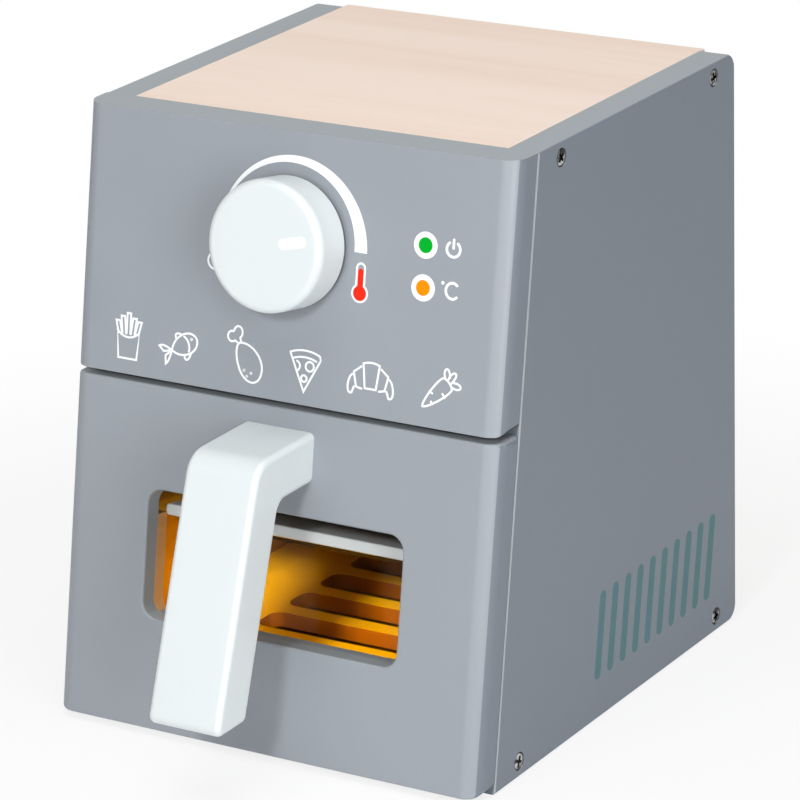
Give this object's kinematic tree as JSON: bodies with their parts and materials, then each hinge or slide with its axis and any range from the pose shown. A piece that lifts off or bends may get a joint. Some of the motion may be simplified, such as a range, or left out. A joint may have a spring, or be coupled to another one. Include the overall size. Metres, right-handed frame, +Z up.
{
  "type": "toy air fryer",
  "caption": "Wooden play air fryer with a leaning grey front, a turning white knob and a sliding drawer with a white handle and an amber window.",
  "frame": {"origin": "on the ground, at the middle of the width and midway between the handle's tip and the rear edge", "axes": "+X to the right of someone who faces the front, -Y out of the front, +Z up"},
  "size_m": [0.15, 0.2066, 0.188],
  "materials": {
    "grey_paint_side": "satin grey paint on wood",
    "grey_paint_front": "satin grey paint on wood",
    "natural_wood": "clear satin lacquer",
    "inner_wood": "raw plywood",
    "dowel_wood": "raw beech",
    "white_paint": "satin white paint on wood",
    "dark_felt": "pressed felt",
    "polished_steel": "polished",
    "zinc_steel": "zinc plated",
    "amber_acrylic": "clear amber tint",
    "light_grey_plastic": "matt"
  },
  "bodies": {
    "cabinet": {"side_panel_left": "grey_paint_side", "side_panel_right": "grey_paint_side", "top_panel": "natural_wood", "bottom_panel": "inner_wood", "back_panel": "inner_wood", "divider_shelf": "inner_wood", "control_panel": "grey_paint_front", "control_panel_dowels": "dowel_wood", "side_screws_left": "polished_steel", "side_screws_right": "polished_steel"},
    "knob": {"knob": "white_paint", "knob_axle": "dowel_wood", "knob_washer": "dark_felt", "knob_retaining_disc": "inner_wood", "knob_retaining_screw": "zinc_steel"},
    "drawer": {"drawer_front": "grey_paint_front", "window_liner": "natural_wood", "window_pane": "amber_acrylic", "pane_rail": "light_grey_plastic", "pane_screws": "zinc_steel", "drawer_side_left": "inner_wood", "drawer_side_right": "inner_wood", "drawer_back": "inner_wood", "drawer_bottom": "inner_wood", "drawer_bottom_screws": "zinc_steel", "drawer_front_dowels": "dowel_wood", "drawer_back_dowels": "dowel_wood", "rack": "natural_wood", "rack_cleat_left": "inner_wood", "rack_cleat_right": "inner_wood", "handle": "white_paint", "handle_screws": "zinc_steel"}
  },
  "joints": [
    {"name": "drawer_slide", "type": "slide", "parent": "cabinet", "child": "drawer", "axis": [0, -1, 0], "range_m": [0, 0.105]},
    {"name": "knob_turn", "type": "hinge", "parent": "cabinet", "child": "knob", "pos_m": [0, -0.03674, 0.15569], "axis": [0, -0.9848, 0.1736], "continuous": true}
  ]
}
